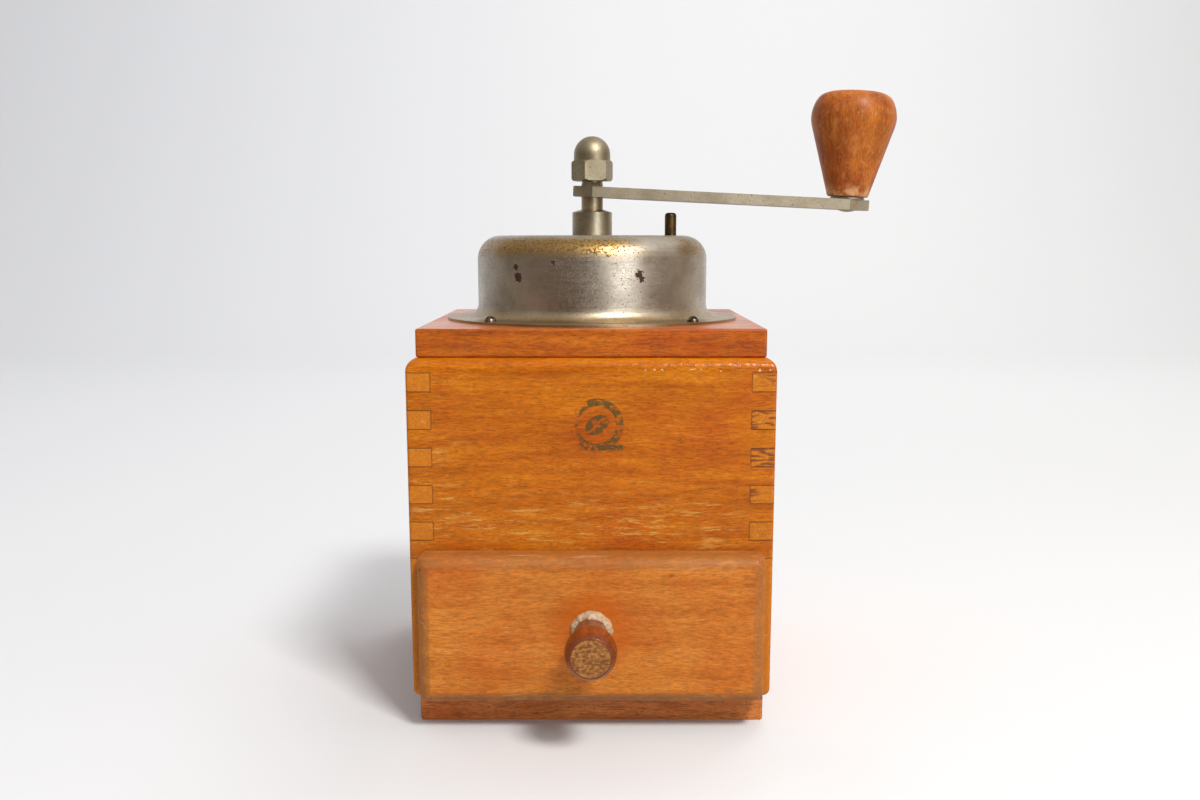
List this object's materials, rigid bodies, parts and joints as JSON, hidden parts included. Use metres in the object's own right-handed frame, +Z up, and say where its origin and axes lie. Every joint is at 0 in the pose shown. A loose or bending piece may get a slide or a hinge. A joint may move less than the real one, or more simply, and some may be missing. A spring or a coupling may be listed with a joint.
{
  "type": "hand crank coffee grinder",
  "caption": "Box coffee mill: finger-jointed wooden box with a drawer, steel hopper dome with a shutter, cone burr mill inside, and a crank with a turned wooden knob.",
  "frame": {"origin": "middle of the base board's underside, which rests on the table", "axes": "+Z up along the shaft; -Y out of the front, where the drawer opens; +X to the right, where the crank points at rest"},
  "size_m": [0.1802, 0.1664, 0.2274],
  "materials": {
    "box_wood": "varnished beech, worn",
    "top_board_wood": "darker varnished beech",
    "base_board_wood": "darker varnished beech",
    "drawer_front_wood": "varnished beech",
    "drawer_knob_wood": "turned beech, dark varnish",
    "handle_knob_wood": "turned beech, worn varnish",
    "bare_wood": "bare beech, coffee-stained",
    "glue": "dried glue",
    "dome_steel": "aged nickel-plated sheet, rust specks",
    "shutter_steel": "dull nickel-plated sheet",
    "pin_steel": "browned steel",
    "bush_steel": "dull nickel plate",
    "shaft_steel": "dull steel",
    "crank_nickel": "worn nickel plate, brassy at the edges",
    "nut_nickel": "worn nickel plate",
    "screw_steel": "dark steel",
    "spring_steel": "blued spring steel",
    "housing_iron": "black cast iron",
    "burr_iron": "hardened iron, bright on the cutting edges",
    "wheel_brass": "dull brass"
  },
  "bodies": {
    "casing": {"front_panel": "box_wood", "back_panel": "box_wood", "left_side": "box_wood", "right_side": "box_wood", "base_board": "base_board_wood", "top_board": "top_board_wood", "corner_blocks": "bare_wood", "base_nails": "screw_steel", "corner_block_screws": "screw_steel", "dome_screws": "screw_steel", "housing_screws": "screw_steel", "hopper_dome": "dome_steel", "upper_bush": "bush_steel", "bush_nut": "bush_steel", "hopper_funnel": "shutter_steel", "burr_housing": "housing_iron", "grub_screws": "screw_steel", "ring_burr": "burr_iron", "bridge_pillars": "shaft_steel", "bridge_screws": "screw_steel", "lower_bridge": "housing_iron", "detent_spring": "spring_steel", "detent_rivet": "screw_steel", "burr_spring": "spring_steel"},
    "drawer": {"drawer_front": "drawer_front_wood", "drawer_left_side": "bare_wood", "drawer_right_side": "bare_wood", "drawer_back": "bare_wood", "drawer_floor": "bare_wood", "drawer_knob": "drawer_knob_wood", "knob_glue_bead": "glue", "drawer_dowels": "bare_wood", "drawer_nails": "screw_steel"},
    "shutter": {"shutter_plate": "shutter_steel", "shutter_pin": "pin_steel"},
    "thrust": {"thrust_ball": "shaft_steel"},
    "setting": {"setting_screw": "shaft_steel", "setting_wheel": "wheel_brass"},
    "crank": {"main_shaft": "shaft_steel", "crank_arm": "crank_nickel", "cap_nut": "nut_nickel", "cone_burr": "burr_iron", "burr_drive_pin": "shaft_steel", "spring_washer": "shaft_steel", "handle_pin": "crank_nickel", "handle_washer": "crank_nickel"},
    "handle": {"handle_knob": "handle_knob_wood"}
  },
  "joints": [
    {"name": "drawer_slide", "type": "slide", "parent": "casing", "child": "drawer", "axis": [0, -1, 0], "range_m": [0, 0.12]},
    {"name": "shutter_turn", "type": "hinge", "parent": "casing", "child": "shutter", "pos_m": [0, 0, 0.1715], "axis": [0, 0, 1], "range_deg": [0, 90]},
    {"name": "shaft_lift", "type": "slide", "parent": "casing", "child": "thrust", "axis": [0, 0, 1], "range_m": [-0.0005, 0.0005], "deforming": ["burr_spring"]},
    {"name": "setting_turn", "type": "hinge", "parent": "thrust", "child": "setting", "pos_m": [0, 0, 0.0725], "axis": [0, 0, 1], "range_deg": [-180, 180]},
    {"name": "crank_turn", "type": "hinge", "parent": "thrust", "child": "crank", "pos_m": [0, 0, 0.19], "axis": [0, 0, 1], "continuous": true},
    {"name": "handle_spin", "type": "hinge", "parent": "crank", "child": "handle", "pos_m": [0.09838, 0, 0.18299], "axis": [0.0489, 0, 0.9988], "continuous": true}
  ],
  "couplings": [
    {"joint": "setting_turn", "follows": "shaft_lift", "rad_per_m": 6283.2}
  ]
}
